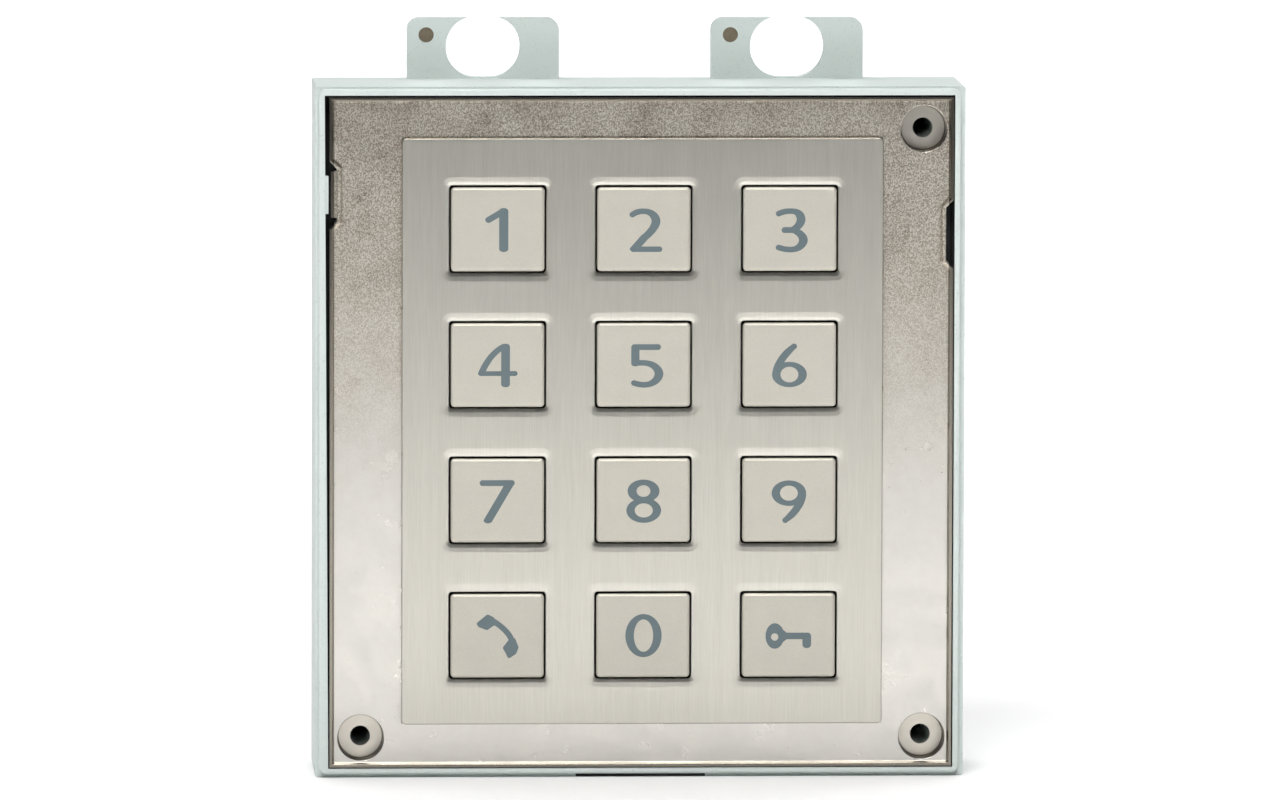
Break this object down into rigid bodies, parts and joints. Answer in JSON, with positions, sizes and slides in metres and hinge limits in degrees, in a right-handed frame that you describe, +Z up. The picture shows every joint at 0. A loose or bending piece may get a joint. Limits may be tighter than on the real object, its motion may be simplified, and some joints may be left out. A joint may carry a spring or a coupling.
{
  "type": "keypad access module",
  "caption": "Flat plated-metal keypad module in a pale plastic rear case, with sprung square keys, inlaid legends, corner screw holes and two slotted ears on top.",
  "frame": {"origin": "centre of the rear case's flat rear face", "axes": "+Z up, +Y out of the rear face, so the keys face -Y, +X to the right seen from the front"},
  "size_m": [0.0976, 0.0233, 0.1132],
  "materials": {
    "case_plastic": "fine moulded texture, pale grey",
    "plate_metal": "plated casting, brushed panel, cast border",
    "key_metal": "satin metallic",
    "legend_resin": "translucent blue-grey",
    "silicone": "translucent milky",
    "gasket_rubber": "black closed-cell",
    "board_laminate": "green solder resist",
    "led_body": "pale package",
    "chip_body": "black moulded package",
    "small_parts": "ceramic chips",
    "socket_plastic": "off-white moulded",
    "contact_metal": "plated contacts",
    "screw_steel": "zinc plated",
    "pin_metal": "dull turned metal"
  },
  "bodies": {
    "housing": {"rear_case": "case_plastic", "front_plate": "plate_metal", "perimeter_gasket": "gasket_rubber", "circuit_board": "board_laminate", "silicone_mat": "silicone", "backlight_leds": "led_body", "microcontroller": "chip_body", "passive_components": "small_parts", "left_bus_socket": "socket_plastic", "right_bus_socket": "socket_plastic", "left_socket_pins": "contact_metal", "right_socket_pins": "contact_metal", "board_screws": "screw_steel", "case_screws": "screw_steel", "ear_pins": "pin_metal", "bottom_strip": "gasket_rubber", "screw_seals": "gasket_rubber"},
    "key_1": {"key_1_cap": "key_metal", "key_1_legend": "legend_resin"},
    "key_2": {"key_2_cap": "key_metal", "key_2_legend": "legend_resin"},
    "key_3": {"key_3_cap": "key_metal", "key_3_legend": "legend_resin"},
    "key_4": {"key_4_cap": "key_metal", "key_4_legend": "legend_resin"},
    "key_5": {"key_5_cap": "key_metal", "key_5_legend": "legend_resin"},
    "key_6": {"key_6_cap": "key_metal", "key_6_legend": "legend_resin"},
    "key_7": {"key_7_cap": "key_metal", "key_7_legend": "legend_resin"},
    "key_8": {"key_8_cap": "key_metal", "key_8_legend": "legend_resin"},
    "key_9": {"key_9_cap": "key_metal", "key_9_legend": "legend_resin"},
    "key_handset": {"key_handset_cap": "key_metal", "key_handset_legend": "legend_resin"},
    "key_0": {"key_0_cap": "key_metal", "key_0_legend": "legend_resin"},
    "key_symbol": {"key_symbol_cap": "key_metal", "key_symbol_legend": "legend_resin"}
  },
  "joints": [
    {"name": "press_1", "type": "slide", "parent": "housing", "child": "key_1", "axis": [0, 1, 0], "range_m": [0, 0.001], "stiffness_N_per_m": 1500, "springref_m": -0.0003, "deforming": ["silicone_mat"]},
    {"name": "press_2", "type": "slide", "parent": "housing", "child": "key_2", "axis": [0, 1, 0], "range_m": [0, 0.001], "stiffness_N_per_m": 1500, "springref_m": -0.0003, "deforming": ["silicone_mat"]},
    {"name": "press_3", "type": "slide", "parent": "housing", "child": "key_3", "axis": [0, 1, 0], "range_m": [0, 0.001], "stiffness_N_per_m": 1500, "springref_m": -0.0003, "deforming": ["silicone_mat"]},
    {"name": "press_4", "type": "slide", "parent": "housing", "child": "key_4", "axis": [0, 1, 0], "range_m": [0, 0.001], "stiffness_N_per_m": 1500, "springref_m": -0.0003, "deforming": ["silicone_mat"]},
    {"name": "press_5", "type": "slide", "parent": "housing", "child": "key_5", "axis": [0, 1, 0], "range_m": [0, 0.001], "stiffness_N_per_m": 1500, "springref_m": -0.0003, "deforming": ["silicone_mat"]},
    {"name": "press_6", "type": "slide", "parent": "housing", "child": "key_6", "axis": [0, 1, 0], "range_m": [0, 0.001], "stiffness_N_per_m": 1500, "springref_m": -0.0003, "deforming": ["silicone_mat"]},
    {"name": "press_7", "type": "slide", "parent": "housing", "child": "key_7", "axis": [0, 1, 0], "range_m": [0, 0.001], "stiffness_N_per_m": 1500, "springref_m": -0.0003, "deforming": ["silicone_mat"]},
    {"name": "press_8", "type": "slide", "parent": "housing", "child": "key_8", "axis": [0, 1, 0], "range_m": [0, 0.001], "stiffness_N_per_m": 1500, "springref_m": -0.0003, "deforming": ["silicone_mat"]},
    {"name": "press_9", "type": "slide", "parent": "housing", "child": "key_9", "axis": [0, 1, 0], "range_m": [0, 0.001], "stiffness_N_per_m": 1500, "springref_m": -0.0003, "deforming": ["silicone_mat"]},
    {"name": "press_handset", "type": "slide", "parent": "housing", "child": "key_handset", "axis": [0, 1, 0], "range_m": [0, 0.001], "stiffness_N_per_m": 1500, "springref_m": -0.0003, "deforming": ["silicone_mat"]},
    {"name": "press_0", "type": "slide", "parent": "housing", "child": "key_0", "axis": [0, 1, 0], "range_m": [0, 0.001], "stiffness_N_per_m": 1500, "springref_m": -0.0003, "deforming": ["silicone_mat"]},
    {"name": "press_symbol", "type": "slide", "parent": "housing", "child": "key_symbol", "axis": [0, 1, 0], "range_m": [0, 0.001], "stiffness_N_per_m": 1500, "springref_m": -0.0003, "deforming": ["silicone_mat"]}
  ]
}
